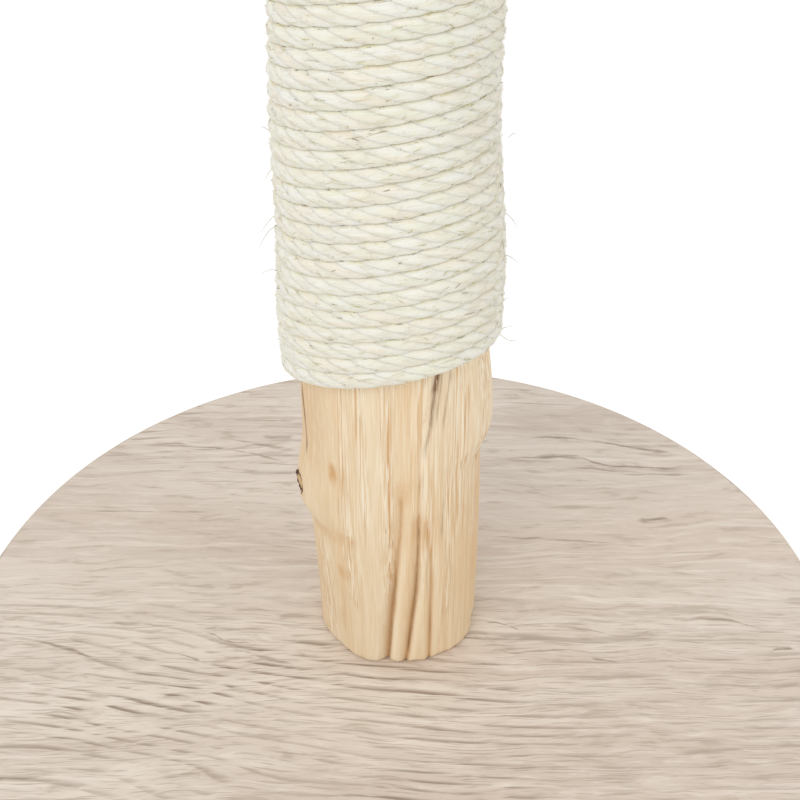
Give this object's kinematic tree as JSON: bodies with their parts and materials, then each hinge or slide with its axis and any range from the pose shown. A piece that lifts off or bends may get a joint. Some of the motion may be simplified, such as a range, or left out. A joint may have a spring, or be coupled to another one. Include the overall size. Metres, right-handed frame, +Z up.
{
  "type": "cat scratching post",
  "caption": "Free-standing scratching post: a round laminated board carries a peeled natural trunk wound with thick rope.",
  "frame": {"origin": "on the floor, under the centre of the round board", "axes": "+Z up along the trunk, -Y towards the front that the picture shows, +X to its right"},
  "size_m": [0.5, 0.5, 0.4742],
  "materials": {
    "core_board": "pressed particle board",
    "oak_laminate": "satin whitewashed oak decor",
    "edge_strip": "satin oak decor strip",
    "peeled_wood": "peeled and sanded, unvarnished",
    "sisal_rope": "laid plant fibre",
    "zinc_steel": "zinc plated",
    "staple_steel": "bright wire",
    "pad_felt": "pressed felt"
  },
  "bodies": {
    "root": {"base_core": "core_board", "bottom_laminate": "oak_laminate", "top_laminate": "oak_laminate", "edge_band": "edge_strip", "trunk": "peeled_wood", "threaded_insert": "zinc_steel", "centre_bolt": "zinc_steel", "spring_lock_washer": "zinc_steel", "flat_washer": "zinc_steel", "rope_winding": "sisal_rope", "lower_rope_staple": "staple_steel", "upper_rope_staple": "staple_steel", "floor_pad_1": "pad_felt", "floor_pad_2": "pad_felt", "floor_pad_3": "pad_felt", "floor_pad_4": "pad_felt", "floor_pad_5": "pad_felt", "floor_pad_6": "pad_felt", "anti_turn_screw_1": "zinc_steel", "anti_turn_screw_2": "zinc_steel", "anti_turn_screw_3": "zinc_steel"}
  },
  "joints": []
}
